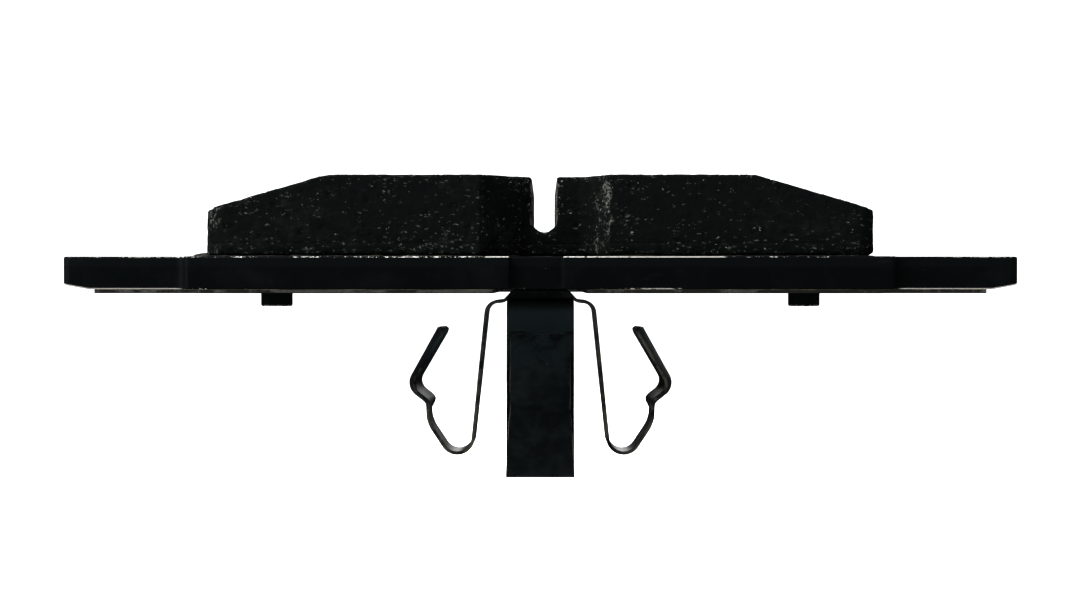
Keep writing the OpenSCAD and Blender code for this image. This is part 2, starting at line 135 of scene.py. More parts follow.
class ClipSettings(PropertyGroup):
    strip: size("Strip", 0.6, "Thickness of the spring steel")
    edge: size("Edge", 0.14, "Radius of the strip's rounded edges")
    elbow_out: size("Elbow distance", 6.4, "Distance of the elbow, where the arm levels out, from the axis")
    elbow_drop: size("Elbow drop", 2.15, "Drop of the elbow under the plate's back face")
    shoulder_out: size("Shoulder distance", 9.5, "Distance of the shoulder bend from the axis")
    shoulder_drop: size("Shoulder drop", 2.5, "Drop of the shoulder bend under the back face")
    shoulder_radius: size("Shoulder radius", 2.1, "Bend radius of the shoulder")
    butt: size("Butt", 7.2, "Distance from the axis at which a finger's mesh joins the seat's")
    flex: size("Flexing length", 3.4, "Length of the leg that bends below the shoulder")
    fold_out: size("Fold distance", 12.9, "Distance of the fold's corner from the axis")
    bow_out: size("Bow distance", 19.9, "Distance of the bow in the outer run from the axis")
    bow_drop: size("Bow drop", 24.2, "Drop of the bow under the back face")
    bow_radius: size("Bow radius", 6.0, "Bend radius of the bow")
    neck_out: size("Neck distance", 20.5, "Distance of the neck's bend from the axis")
    neck_drop: size("Neck drop", 20.4, "Drop of the neck's bend under the back face")
    neck_radius: size("Neck radius", 1.5, "Bend radius of the neck")
    kink_out: size("Kink distance", 24.1, "Distance of the kink from the axis")
    kink_drop: size("Kink drop", 17.5, "Drop of the kink under the back face")
    kink_radius: size("Kink radius", 2.4, "Bend radius of the kink")
    head_drop: size("Head drop", 21.7, "Drop at which the neck starts to widen to the head")
    flare: size("Flare", 2.4, "Height over which the neck widens to the head, with a round shoulder")
    tip_out: size("Tip distance", 18.3, "Distance of the free tip from the axis")
    leg_drop: size("Leg drop", 4.85, "Drop at which the leg starts to taper")
    corner: size("Head corner", 1.6, "Corner radius at the head's tip")
    curl_lead: size("Curl lead", 1.5, "Length of the neck that already curls round the axis")
    blend_lead: size("Blend lead", 0.1, "Distance past its butt at which a finger starts to bend")
    oxide: colour("Oxide", (0.006, 0.0082, 0.0088), "Blackened spring steel")
    # The worn oxide colour is also a painted highlight on the bends.
    worn: colour("Worn oxide", (0.045, 0.046, 0.045), "Oxide rubbed thin on the bends")
    # The cut edge colour is also a painted highlight along the strip's edges and tip.
    cut: colour("Cut edge", (0.12, 0.115, 0.098), "Sheared edge of the strip")
    rivet: colour("Rivet", (0.3, 0.295, 0.285), "Plain steel of the rivet")


class SideFingerSettings(PropertyGroup):
    fold_drop: size("Fold drop", 34.8, "Drop of the fold's corner")
    fold_radius: size("Fold radius", 2.85, "Bend radius of the fold")
    tip_drop: size("Tip drop", 7.0, "Drop of the tip")
    root: size("Root width", 10.0, "Width at the seat")
    fold: size("Fold width", 8.0, "Width at the fold")
    neck: size("Neck width", 8.0, "Width at the neck")
    head: size("Head width", 15.0, "Width of the head")


class FrontFingerSettings(PropertyGroup):
    fold_drop: size("Fold drop", 38.0, "Drop of the fold's corner")
    fold_radius: size("Fold radius", 2.3, "Bend radius of the fold")
    tip_drop: size("Tip drop", 7.6, "Drop of the tip")
    root: size("Root width", 11.8, "Width at the seat")
    fold: size("Fold width", 11.8, "Width at the fold")
    neck: size("Neck width", 10.6, "Width at the neck")
    head: size("Head width", 10.2, "Width of the head")


class StageSettings(PropertyGroup):
    floor_drop: size("Floor drop", 85, "Distance of the floor under the plate's back face")
    floor_half: size("Floor half size", 12000, "Half length of the floor's sides")
    aim_drop: size("Aim drop", 1.98, "Distance of the camera's aim under the plate's back face")
    distance: size("Camera distance", 262, "Distance of the camera from the lining's near face")
    elevation: FloatProperty(name="Elevation", description="Camera's angle above the level",
                             default=math.radians(0.695), subtype="ANGLE")
    azimuth: FloatProperty(name="Azimuth", description="Camera's angle to the right",
                           default=math.radians(0.175), subtype="ANGLE")
    lens: FloatProperty(name="Lens", description="Focal length in millimetres", default=53.5)
    floor: colour("Floor", (0.97, 0.97, 0.97), "Pale floor")


class BrakePadSettings(PropertyGroup):
    plate: PointerProperty(type=PlateSettings)
    lining: PointerProperty(type=LiningSettings)
    shim: PointerProperty(type=ShimSettings)
    clip: PointerProperty(type=ClipSettings)
    side: PointerProperty(type=SideFingerSettings)
    front: PointerProperty(type=FrontFingerSettings)
    stage: PointerProperty(type=StageSettings)


# Shader nodes ------------------------------------------------------------------------------------

class Value:
    """A node's output, with arithmetic that adds Math nodes."""

    def __init__(self, finish, socket):
        self.finish = finish
        self.socket = socket

    def other(self, name):
        """Another output of the same node."""
        return Value(self.finish, self.socket.node.outputs[name])

    def math(self, operation, *terms):
        return self.finish.node("ShaderNodeMath", {"operation": operation}, dict(enumerate(terms)))

    def __add__(self, term):
        return self.math("ADD", self, term)

    __radd__ = __add__

    def __sub__(self, term):
        return self.math("SUBTRACT", self, term)

    def __rsub__(self, term):
        return self.math("SUBTRACT", term, self)

    def __mul__(self, term):
        return self.math("MULTIPLY", self, term)

    __rmul__ = __mul__

    def __abs__(self):
        return self.math("ABSOLUTE", self)

    def __gt__(self, term):
        return self.math("GREATER_THAN", self, term)

    def most(self, term):
        return self.math("MAXIMUM", self, term)

    def root(self):
        return self.math("SQRT", self)

    def sine(self):
        return self.math("SINE", self)


class Finish:
    """A material as it is built. Its specular level and other constants go straight on the shader."""

    def __init__(self, name, specular, **constants):
        self.material = bpy.data.materials.new(name)
        self.material.use_nodes = True
        self.tree = self.material.node_tree
        self.shader = self.tree.nodes["Principled BSDF"]
        self.shader.inputs["Specular IOR Level"].default_value = specular
        for socket, value in constants.items():
            self.shader.inputs[socket].default_value = value

    def node(self, kind, settings=None, inputs=None, output=0):
        """Adds a node: its settings first, then the values or links of its sockets."""
        node = self.tree.nodes.new(kind)
        for key, value in (settings or {}).items():
            setattr(node, key, value)
        for key, value in (inputs or {}).items():
            self.feed(node.inputs[key], value)
        return Value(self, node.outputs[output])

    def feed(self, socket, value):
        if isinstance(value, Value):
            self.tree.links.new(value.socket, socket)
        else:
            socket.default_value = value

    def parts(self, vector):
        """The three numbers of a vector."""
        first = self.node("ShaderNodeSeparateXYZ", inputs={0: vector})
        return first, first.other("Y"), first.other("Z")

    def place(self):
        return self.node("ShaderNodeTexCoord", output="Object")

    def facing(self):
        return self.node("ShaderNodeTexCoord", output="Normal")

    def spot(self, stretch, seed):
        """The place, stretched along the axes and moved aside so that no two patterns agree."""
        return self.node("ShaderNodeVectorMath", {"operation": "MULTIPLY_ADD"},
                         {0: self.place(), 1: stretch, 2: (seed, 1.7 * seed, -0.6 * seed)})

    def clouds(self, grain, detail=3, rough=0.5, stretch=(1, 1, 1), seed=0):
        """Fractal noise round 0.5, whose largest blots measure about one grain."""
        return self.node("ShaderNodeTexNoise", inputs={
            "Vector": self.spot(stretch, seed), "Scale": 1 / grain, "Detail": detail, "Roughness": rough})

    def cells(self, grain, stretch=(1, 1, 1), seed=0, ragged=0):
        """Distance to the nearest of many scattered points, one to a cell, with ragged outlines."""
        spot = self.spot(stretch, seed)
        if ragged:
            wave = self.clouds(0.6 * grain, 3, 0.6, stretch, seed + 0.5).other("Color")
            push = (ragged * grain,) * 3
            spot = self.node("ShaderNodeVectorMath", {"operation": "MULTIPLY_ADD"},
                             {0: wave, 1: push, 2: spot})
        return self.node("ShaderNodeTexVoronoi", inputs={"Vector": spot, "Scale": 1 / grain})

    def step(self, value, low, high):
        """0 below low, 1 above high, smooth between."""
        return self.node("ShaderNodeMapRange", {"interpolation_type": "SMOOTHSTEP"},
                         {"Value": value, "From Min": low, "From Max": high})

    def specks(self, grain, radius, share, stretch=(1, 1, 1), seed=0, ragged=2.5):
        """Ragged specks in a share of the cells, with a random shade from 0 to 1 for each."""
        cell = self.cells(grain, stretch, seed, ragged)
        chance = self.node("ShaderNodeSeparateColor", inputs={0: cell.other("Color")})
        drawn = (chance > 1 - share) * (1 - self.step(cell, 0.6 * radius, radius))
        return drawn, chance.other("Green")

    def mix(self, first, second, share):
        """A colour between two colours."""
        ends = [tuple(c) + (1,) if not isinstance(c, Value) else c for c in (first, second)]
        return self.node("ShaderNodeMix", {"data_type": "RGBA"}, {0: share, 6: ends[0], 7: ends[1]},
                         output=2)

    def bump(self, height, depth, under=None):
        """A normal raised by a height from 0 to 1, over another normal if there is one."""
        inputs = {"Height": height, "Distance": depth}
        if under is not None:
            inputs["Normal"] = under
        return self.node("ShaderNodeBump", inputs=inputs)

    def done(self, colour=None, roughness=None, metallic=None, normal=None):
        """Feeds what varies over the surface and returns the material."""
        varying = {"Base Color": colour, "Roughness": roughness, "Metallic": metallic, "Normal": normal}
        for socket, value in varying.items():
            if value is not None:
                self.feed(self.shader.inputs[socket], value)
        return self.material


# Finishes ----------------------------------------------------------------------------------------

def coated_steel(look):
    """Black coating on blanked steel, chipped bright along the front rim and worn on the ears."""
    f = Finish("plate_coating", specular=0.08)
    low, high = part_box("backing_plate")
    body_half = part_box("friction_block")[1].x + look.margin
    x, y, z = f.parts(f.place())
    _, _, nz = f.parts(f.facing())
    level = nz * nz
    rim = f.step(level * (1 - level) * 4, 0.2, 0.7)
    wall = 1 - f.step(level, 0.02, 0.1)
    past_notch = f.step(abs(x), look.notch_half - look.notch_lip, look.notch_half + look.notch_lip)
    in_notch = (1 - past_notch) * f.step(y, low.y + 0.5 * MM, low.y + 1.2 * MM)
    front_rim = rim * f.step(nz, 0.0, 0.15) * (1 - in_notch)
    back_rim = rim * f.step(0 - nz, 0.0, 0.15)
    ears = f.step(abs(x), body_half, body_half + 2 * MM)
    middle = 1 - f.step(abs(x), 14 * MM, 48 * MM)
    patches = f.clouds(12 * MM, 3, seed=3)
    chips = f.clouds(0.8 * MM, 5, 0.7, seed=5)
    grit = f.clouds(0.35 * MM, 4, 0.75, (0.6, 1, 1), seed=6)
    chipped = f.step(chips * 0.6 + grit * 0.6 + patches * 0.7 + middle * 0.12, 0.98, 1.08)
    front_bare = front_rim * chipped * (1 - 0.7 * ears)
    worn_ears = ears * f.step(chips + patches * 0.5, 0.42, 0.6)
    back_bare = back_rim * worn_ears.most(f.step(chips + patches, 1.16, 1.22))
    nicks, nick_shade = f.specks(3.1 * MM, 0.07, 0.1, seed=11)
    pip_rim = rim * f.step(0 - z, 1.5 * MM, 2 * MM) * f.step(chips, 0.4, 0.6)
    bare = front_bare.most(back_bare).most(nicks * nick_shade * 0.6).most(pip_rim * 0.4)
    grime = f.clouds(7 * MM, 5, 0.6, seed=7)
    scuffs = f.step(f.clouds(2.6 * MM, 5, 0.7, (0.25, 1, 1.4), seed=9), 0.6, 0.76)
    broken = wall * f.step(z, high.z * 0.62, high.z * 0.72)
    faded = (f.step(grime, 0.45, 0.75) * 0.4 + scuffs * 0.6).most(broken * 0.3)
    tone = f.mix(look.coating, look.faded, faded)
    streaks = f.clouds(0.34 * MM, 3, 0.5, (1, 1, 0.1), seed=13)
    peel = f.clouds(0.7 * MM, 2, seed=15)
    torn = f.clouds(0.42 * MM, 4, 0.7, (0.8, 0.8, 0.5), seed=17)
    normal = f.bump(peel, 0.02 * MM)
    normal = f.bump(streaks * wall, 0.02 * MM, normal)
    normal = f.bump(torn * broken, 0.05 * MM, normal)
    normal = f.bump(1 - bare, 0.03 * MM, normal)
    roughness = f.step(grime, 0.25, 0.8) * 0.14 + 0.42 + scuffs * 0.12 - bare * 0.1
    return f.done(f.mix(tone, look.bare, bare), roughness, bare * 0.7, normal)


def compound(name, look, dust):
    """Friction compound: a dark granular mass with pale mineral grains and metal fibres, with powder and a
    painted highlight on the front faces that turn to the left.
    """
    f = Finish(name, specular=0.08)
    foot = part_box("underlayer")[1].z
    x, y, z = f.parts(f.place())
    nx, _, nz = f.parts(f.facing())
    near = 1 - f.step(y, -22 * MM, -12 * MM)
    ground = f.step(nz, 0.9, 0.97)
    beside = abs(x - look.slot_at)
    sawn = (1 - f.step(beside, look.slot_half, look.slot_half + 0.3 * MM)) * f.step(abs(nx), 0.6, 0.9)
    at_slot = 1 - f.step(beside, 4 * MM, 9 * MM)
    turned_left = f.step(0 - nx, 0.12, 0.5)
    edge = f.node("ShaderNodeAttribute", {"attribute_name": "edge"}, output="Fac")
    lower = 1 - f.step(z, foot - 3 * MM, foot + 3 * MM)
    body = f.clouds(1.6 * MM, 6, 0.7, (0.7, 1, 1), seed=21)
    crowds = f.step(f.clouds(6 * MM, 5, 0.7, (0.45, 1, 1), seed=22), 0.5, 0.68)
    dusting = f.step(f.clouds(9 * MM, 5, 0.65, (0.4, 1, 1), seed=23) + body * 0.7, 0.86, 1.2)
    tone = f.mix(look.dark, look.dusty, (dusting * 0.6 + body * 0.3) * dust + ground * 0.35)
    minerals, shade = f.specks(0.6 * MM, 0.3, crowds * 0.1 + lower * 0.04 + edge * at_slot * 0.9 + 0.004,
                               (0.6, 1, 1.2), seed=25)
    dim, dim_shade = f.specks(0.42 * MM, 0.42, crowds * 0.5 + lower * 0.35 + 0.08, (0.5, 1, 1.1),
                              seed=26)
    grains, grain_shade = f.specks(1.3 * MM, 0.24, lower * 0.12 + crowds * 0.1 + 0.02, (0.6, 1, 1.3),
                                   seed=27)
    fibres, fibre_shade = f.specks(0.8 * MM, 0.2, ground * 0.07 + lower * 0.03 + 0.01, (0.2, 1, 1),
                                   seed=29)
    cross, _ = f.specks(0.8 * MM, 0.17, ground * 0.07 + 0.004, (1, 1, 0.3), seed=31)
    scratches, scratch_shade = f.specks(2.4 * MM, 0.06, 0.05, (0.1, 1, 1), seed=32, ragged=0.1)
    sparks, _ = f.specks(0.45 * MM, 0.28, edge * 0.1 + 0.003, seed=33)
    metal = (fibres * fibre_shade).most(cross * 0.6).most(sparks)
    drift = f.clouds(0.45 * MM, 5, 0.8, seed=34) + f.clouds(2.5 * MM, 2, seed=36) * 0.5
    # Powder and painted highlight: pale mineral colour on front faces that turn partly to the left, towards
    # the lamps, broken up by noise and kept off the faces next to the slot.
    clear = 1 - f.step(beside, look.powder_and_highlight_start, look.powder_and_highlight_full)
    steep = f.step(0 - nx, 0.86, 0.95)
    powder_and_highlight = near * turned_left * (1 - steep) * f.step(drift - clear * 0.3, 0.76, 0.96)
    tone = f.mix(tone, look.mineral, dim * dim_shade * 0.4)
    tone = f.mix(tone, look.mineral, minerals * shade * 0.9)
    tone = f.mix(tone, look.mineral, grains * grain_shade * 0.35)
    # Powder with its painted highlight, and scratches.
    tone = f.mix(tone, look.mineral, (powder_and_highlight * 0.5).most(scratches * scratch_shade * 0.3))
    tone = f.mix(tone, look.metal, metal * 0.75)
    tone = f.mix(tone, look.sawn, sawn * f.step(body, 0.3, 0.7) * 0.7)
    pebbles = f.cells(0.8 * MM, seed=35, ragged=1.5)
    fine = f.clouds(0.36 * MM, 5, 0.7, seed=37)
    marks = f.clouds(0.35 * MM, 2, 0.5, (0.06, 1, 1), seed=39)
    normal = f.bump(body, 0.16 * MM)
    normal = f.bump(1 - pebbles, 0.07 * MM, normal)
    normal = f.bump(fine, 0.09 * MM, normal)
    normal = f.bump(marks * ground, 0.05 * MM, normal)
    roughness = 0.85 - metal * 0.4 - minerals * 0.15 - ground * 0.12
    return f.done(tone, roughness, metal * 0.7, normal)


def resin(name, look):
    """Brown cured resin, lumpy and a little glossy, with dust of the compound on it."""
    f = Finish(name, specular=0.45)
    blots = f.clouds(1.6 * MM, 4, 0.6, seed=41)
    dust, shade = f.specks(0.7 * MM, 0.3, 0.08, seed=43)
    tone = f.mix(look.dark, look.resin, f.step(blots, 0.35, 0.7))
    tone = f.mix(tone, look.mineral, dust * shade)
    fine = f.clouds(0.4 * MM, 3, seed=45)
    return f.done(tone, blots * 0.3 + 0.35, dust * 0.2, f.bump(fine, 0.06 * MM, f.bump(blots, 0.2 * MM)))


def shim_glue(look):
    """Adhesive under the shim: pale where it is thick, stained olive and brown elsewhere."""
    f = Finish("shim_adhesive", specular=0.4)
    stains = f.clouds(9 * MM, 4, 0.6, (1, 1, 0.2), seed=51)
    stringy = f.clouds(0.8 * MM, 4, 0.7, seed=53)
    tone = f.mix([0.25 * c for c in look.glue], look.glue, f.step(stains, 0.42, 0.62))
    tone = f.mix(tone, GLUE_STRINGS, f.step(stringy, 0.5, 0.7) * 0.8)
    return f.done(tone, stringy * 0.3 + 0.35, None, f.bump(stringy, 0.04 * MM))


def shim_sheet(look):
    """Sheet steel seen at its sheared edge: bright shear, dull break and spots of rust."""
    f = Finish("shim_steel", specular=0.5)
    drag = f.clouds(0.3 * MM, 3, 0.6, (1, 1, 0.15), seed=61)
    stains = f.clouds(12 * MM, 5, 0.65, seed=63)
    rust = f.step(f.clouds(1.5 * MM, 5, 0.7, seed=65), 0.62, 0.72)
    clean = f.step(stains, 0.5, 0.62)
    tone = f.mix(SHEET_STAIN, look.steel, clean * 0.9)
    tone = f.mix(tone, SHEET_RUST, rust * 0.6)
    return f.done(tone, drag * 0.3 + 0.3 + rust * 0.3, clean * (1 - rust) * 0.9, f.bump(drag, 0.03 * MM))


def shim_rubber(look):
    """Thin matt rubber with a fine leathery grain, rubbed shiny in places."""
    f = Finish("shim_rubber", specular=0.35)
    grain = f.cells(0.34 * MM, seed=71)
    rubbed = f.step(f.clouds(14 * MM, 4, 0.6, seed=73), 0.48, 0.7)
    dust, shade = f.specks(1.3 * MM, 0.16, 0.06, seed=75)
    tone = f.mix(look.rubber, [3.2 * c for c in look.rubber], rubbed * 0.7)
    tone = f.mix(tone, SETTLED_DUST, dust * shade)
    normal = f.bump(grain, 0.035 * MM, f.bump(f.clouds(2.2 * MM, 3, seed=77), 0.03 * MM))
    return f.done(tone, 0.62 - rubbed * 0.2 + grain * 0.1, None, normal)


def spring_steel(look, tip):
    """Blackened spring steel, satin and brownish at its sheared edges, which also carry a painted edge
    highlight.

    It carries a painted highlight that grows towards the front finger's tip height, given by its height,
    and painted fill light over everything above that height, where the plate casts its shade. It is rubbed
    thin on the bends, which are painted lighter as a bend highlight too."""
    f = Finish("spring_steel", specular=0.06)
    _, _, z = f.parts(f.place())
    edge = f.node("ShaderNodeAttribute", {"attribute_name": "edge"}, output="Fac")
    bend = f.node("ShaderNodeAttribute", {"attribute_name": "bend"}, output="Fac")
    mottle = f.clouds(2.6 * MM, 5, 0.62, seed=81)
    fine = f.clouds(0.28 * MM, 4, 0.6, seed=83)
    patches = f.clouds(5 * MM, 3, 0.55, seed=85)
    drawn = f.clouds(0.25 * MM, 2, 0.5, (1, 1, 0.05), seed=87)
    # Oxide rubbed thin on the bends, which is also a painted bend highlight.
    rubbed = f.step(bend * 0.75 + mottle * 0.5, 0.6, 1.05)
    # Sheared edges in patches, which are also a painted edge highlight.
    sheared = edge * f.step(patches + fine * 0.3, 0.54, 0.74)
    # Painted highlight that grows towards the height of the front finger's tip, mottled, and painted fill
    # light over everything above that height, where the plate casts its shade.
    painted_highlight_under_tip = f.step(z, tip - 8 * MM, tip) * f.step(mottle, 0.2, 0.6)
    painted_fill_above_tip = f.step(z, tip, tip + 0.3 * MM)
    tone = f.mix(look.oxide, [1.8 * c for c in look.oxide], f.step(mottle, 0.35, 0.7))
    # Painted highlight and painted fill light: a lighter oxide colour.
    tone = f.mix(tone, [5.5 * c for c in look.oxide], painted_highlight_under_tip.most(painted_fill_above_tip) * 0.85)
    # Worn oxide on the bends, also a painted highlight.
    tone = f.mix(tone, look.worn, rubbed * 0.6)
    # Cut edge colour, also a painted edge highlight.
    tone = f.mix(tone, look.cut, sheared * 0.8)
    nicks, shade = f.specks(1.5 * MM, 0.1, 0.03, seed=89)
    tone = f.mix(tone, NICKED_STEEL, nicks * shade)
    normal = f.bump(fine, 0.012 * MM, f.bump(drawn, 0.012 * MM, f.bump(mottle, 0.04 * MM)))
    roughness = mottle * 0.2 + 0.45 - rubbed * 0.1
    metallic = rubbed * 0.25 + sheared * 0.2 + nicks * 0.4
    return f.done(tone, roughness, metallic, normal)


def rivet_steel(look):
    """Plain rivet steel, turned and pressed, with a darker ring and spots of rust."""
    f = Finish("rivet_steel", specular=0.5)
    x, y, _ = f.parts(f.place())
    out = (x * x + y * y).root()
    rings = (out * (9 / MM)).sine()
    stains = f.clouds(1.8 * MM, 5, 0.65, seed=91)
    rust = f.step(stains, 0.6, 0.74)
    collar = f.step(out, 2.1 * MM, 2.9 * MM)
    tone = f.mix(look.rivet, [0.35 * c for c in look.rivet], collar * 0.7)
    tone = f.mix(tone, RIVET_RUST, rust * 0.5)
    normal = f.bump(rings, 0.006 * MM, f.bump(stains, 0.05 * MM))
    return f.done(tone, stains * 0.3 + 0.25, 1 - rust * 0.7, normal)


def pale_floor(look):
    """Plain pale studio floor with the least tooth to it."""
    f = Finish("studio_floor", specular=0.1, Roughness=0.9)
    tooth = f.clouds(2 * MM, 2, seed=95)
    tone = f.mix([0.99 * c for c in look.floor], look.floor, tooth)
    return f.done(tone)


# Meshes ------------------------------------------------------------------------------------------

def joined(node):
    """A CAD node's mesh with its split corners joined and its flat faces whole."""
    bm = bmesh.new()
    bm.from_mesh(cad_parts[node].data)
    bmesh.ops.remove_doubles(bm, verts=bm.verts, dist=0.002 * MM)
    bmesh.ops.dissolve_limit(bm, angle_limit=math.radians(0.5), verts=bm.verts, edges=bm.edges)
    return bm


def add_object(name, mesh):
    obj = bpy.data.objects.new(name, mesh)
    bpy.context.scene.collection.objects.link(obj)
    return obj


def object_of(name, bm):
    """A new object from a bmesh, which is used up."""
    bmesh.ops.recalc_face_normals(bm, faces=bm.faces)
    mesh = bpy.data.meshes.new(name)
    bm.to_mesh(mesh)
    bm.free()
    return add_object(name, mesh)


def settle(obj):
    """Applies the object's modifiers to its mesh."""
    bpy.context.view_layer.update()
    graph = bpy.context.evaluated_depsgraph_get()
    mesh = bpy.data.meshes.new_from_object(obj.evaluated_get(graph))
    obj.modifiers.clear()
    spent = obj.data
    obj.data = mesh
    bpy.data.meshes.remove(spent)


def soften(obj, width, segments=3, angle=35):
    """Rounds the sharp edges, and shades the rounds smooth and the flats flat."""
    rounding = obj.modifiers.new("rounding", "BEVEL")
    rounding.width = width
    rounding.segments = segments
    rounding.limit_method = "ANGLE"
    rounding.angle_limit = math.radians(angle)
    rounding.use_clamp_overlap = False
    settle(obj)
    obj.data.shade_smooth()
    shading = obj.modifiers.new("shading", "WEIGHTED_NORMAL")
    shading.weight = 100
    settle(obj)


def paint(obj, attribute, values):
    """Stores a number at each of the mesh's points, for the finish to read."""
    layer = obj.data.attributes.get(attribute) or obj.data.attributes.new(attribute, "FLOAT", "POINT")
    layer.data.foreach_set("value", np.asarray(values, np.float32))


def fit(obj, body, material, slot, *nodes):
    """Gives a new piece its finish and its body, and hides the CAD nodes that it stands for. Its slot is
    not used.
    """
    obj.data.materials.clear()
    obj.data.materials.append(material)
    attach(obj, body)
    if nodes:
        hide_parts(*nodes)


def refinish(node, material):
    """Gives a CAD node that stays in sight its finish."""
    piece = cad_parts[node]
    piece.data.materials.clear()
    piece.data.materials.append(material)


def read(data, name, width):
    """A mesh's numbers as rows: threes are places or directions, pairs are the ends of its edges."""
    found = np.empty(len(data) * width, np.float64 if width == 3 else np.int64)
    data.foreach_get(name, found)
    return found.reshape(-1, width)


def noise_at(points, grain, seed):
    """Smooth noise from -1 to 1 at each point."""
    shift = Vector((seed, 1.3 * seed, -0.7 * seed))
    return np.array([noise.noise(Vector(p) / grain + shift) for p in points])


def between(values, low, high):
    """0 below low, 1 above high, smooth between."""
    share = np.clip((values - low) / (high - low), 0, 1)
    return share * share * (3 - 2 * share)


def convexity(mesh, points, normals, passes=4):
    """How much each point stands on an outer edge, from 0 to 1, spread over its neighbours.

    A point on an outer edge stands above the mean of its neighbours, here by 0.004 to 0.03 mm."""
    ends = read(mesh.edges, "vertices", 2)
    count = np.bincount(ends.ravel(), minlength=len(points))

    def mean_of_neighbours(values):
        total = np.zeros_like(values)
        np.add.at(total, ends[:, 0], values[ends[:, 1]])
        np.add.at(total, ends[:, 1], values[ends[:, 0]])
        return total / count.reshape(-1, *[1] * (values.ndim - 1))

    rise = np.einsum("ij,ij->i", points - mean_of_neighbours(points), normals)
    for _ in range(passes):
        rise = 0.4 * rise + 0.6 * mean_of_neighbours(rise)
    return between(rise, 0.004 * MM, 0.03 * MM)


def stretch_to(obj, old, new):
    """Moves the points at one height to another."""
    for vertex in obj.data.vertices:
        if abs(vertex.co.z - old) < 0.01 * MM:
            vertex.co.z = new


def roughen(obj, look, seam, seed):
    """Builds the surface anew in small cells, then gives it grain, pits and chipped edges.

    The seam is the height at which the friction block and its underlayer meet. Each dives under the
    other there, and its edge isn't chipped."""
    cells = obj.modifiers.new("cells", "REMESH")
    cells.mode = "VOXEL"
    cells.voxel_size = look.grain
    settle(obj)
    mesh = obj.data
    points = read(mesh.vertices, "co", 3)
    normals = read(mesh.vertices, "normal", 3)
    off_seam = between(np.abs(points[:, 2] - seam), look.lap, 2.2 * look.lap)
    edge = convexity(mesh, points, normals) * off_seam
    moulded = 1 - between(np.abs(normals[:, 2]), 0.8, 0.93)
    coarse = noise_at(points, 1.5 * MM, seed)
    fine = noise_at(points, 0.7 * MM, seed + 5)
    grain = 0.6 * coarse + 0.8 * fine
    pits = between(noise_at(points, 1.1 * MM, seed + 11), 0.38, 0.62)
    chips = between(noise_at(points, 2.3 * MM, seed + 17), 0.12, 0.45)
    nibbles = between(noise_at(points, 0.8 * MM, seed + 23), 0.0, 0.5)
    rise = look.roughness * grain * (0.25 + 0.75 * moulded) * (1 - 0.5 * edge)
    rise -= look.pit * pits * (0.5 + 0.5 * moulded)
    rise -= look.chip * edge * (0.25 * nibbles + chips)
    own_side = math.copysign(1, points[:, 2].mean() - seam)
    rise -= look.dive * between((seam - points[:, 2]) * own_side, 0, look.lap)
    mesh.vertices.foreach_set("co", (points + normals * rise[:, None]).ravel())
    paint(obj, "edge", edge)
    mesh.update()
    mesh.shade_smooth()


def outline_at(node, height):
    """The outer line of a CAD node at one height, as points in order, anticlockwise.

    It always starts at the leftmost point, so that every run gives the same line."""
    bm = joined(node)
    geometry = bm.verts[:] + bm.edges[:] + bm.faces[:]
    cut = bmesh.ops.bisect_plane(bm, geom=geometry, plane_co=(0, 0, height), plane_no=(0, 0, 1))
    edges = {e for e in cut["geom_cut"] if isinstance(e, bmesh.types.BMEdge)}
    loops = []
    while edges:
        edge = edges.pop()
        start, here = edge.verts
        loop = [start.co.xy, here.co.xy]
        while here != start:
            edge = next(e for e in here.link_edges if e in edges)
            edges.remove(edge)
            here = edge.other_vert(here)
            loop.append(here.co.xy)
        loops.append(np.array(loop[:-1], float))
    bm.free()
    longest = max(loops, key=lambda line: np.ptp(line[:, 0]))
    x, y = longest.T
    turn = np.sum(x * np.roll(y, -1) - y * np.roll(x, -1))
    line = longest if turn > 0 else longest[::-1]
    first = min(range(len(line)), key=lambda k: tuple(line[k]))
    return np.roll(line, -first, 0)


def evenly(line, step):
    """Points at an even spacing along a closed line."""
    closed = np.vstack([line, line[:1]])
    along = np.concatenate([[0], np.cumsum(np.linalg.norm(np.diff(closed, axis=0), axis=1))])
    stations = np.linspace(0, along[-1], round(along[-1] / step), endpoint=False)
    return np.column_stack([np.interp(stations, along, closed[:, k]) for k in (0, 1)])


def lathe(name, profile, turns=64):
    """A closed solid of revolution about Z, from (radius, height) points that start and end on the axis."""
    bm = bmesh.new()
    rings = []
    for radius, height in profile:
        spread = range(turns) if radius > 0 else range(1)
        rings.append([bm.verts.new((radius * math.cos(2 * math.pi * k / turns),
                                    radius * math.sin(2 * math.pi * k / turns), height)) for k in spread])
    for lower, upper in zip(rings, rings[1:]):
        for k in range(turns):
            corners = [lower[k % len(lower)], lower[(k + 1) % turns % len(lower)],
                       upper[(k + 1) % turns % len(upper)], upper[k % len(upper)]]
            bm.faces.new(list(dict.fromkeys(corners)))
    return object_of(name, bm)


# The clip's strip --------------------------------------------------------------------------------

def turned(vector, angle):
    """A flat vector turned anticlockwise."""
    c, s = math.cos(angle), math.sin(angle)
    return np.array([vector[0] * c - vector[1] * s, vector[0] * s + vector[1] * c])


def unit(vector):
    return vector / np.linalg.norm(vector)


def placed(point, heading):
    """The place in space of an [out, up] point of the finger that stands at this heading."""
    out = Vector((math.cos(heading), math.sin(heading), 0))
    return out * point[0] + Vector((0, 0, point[1]))


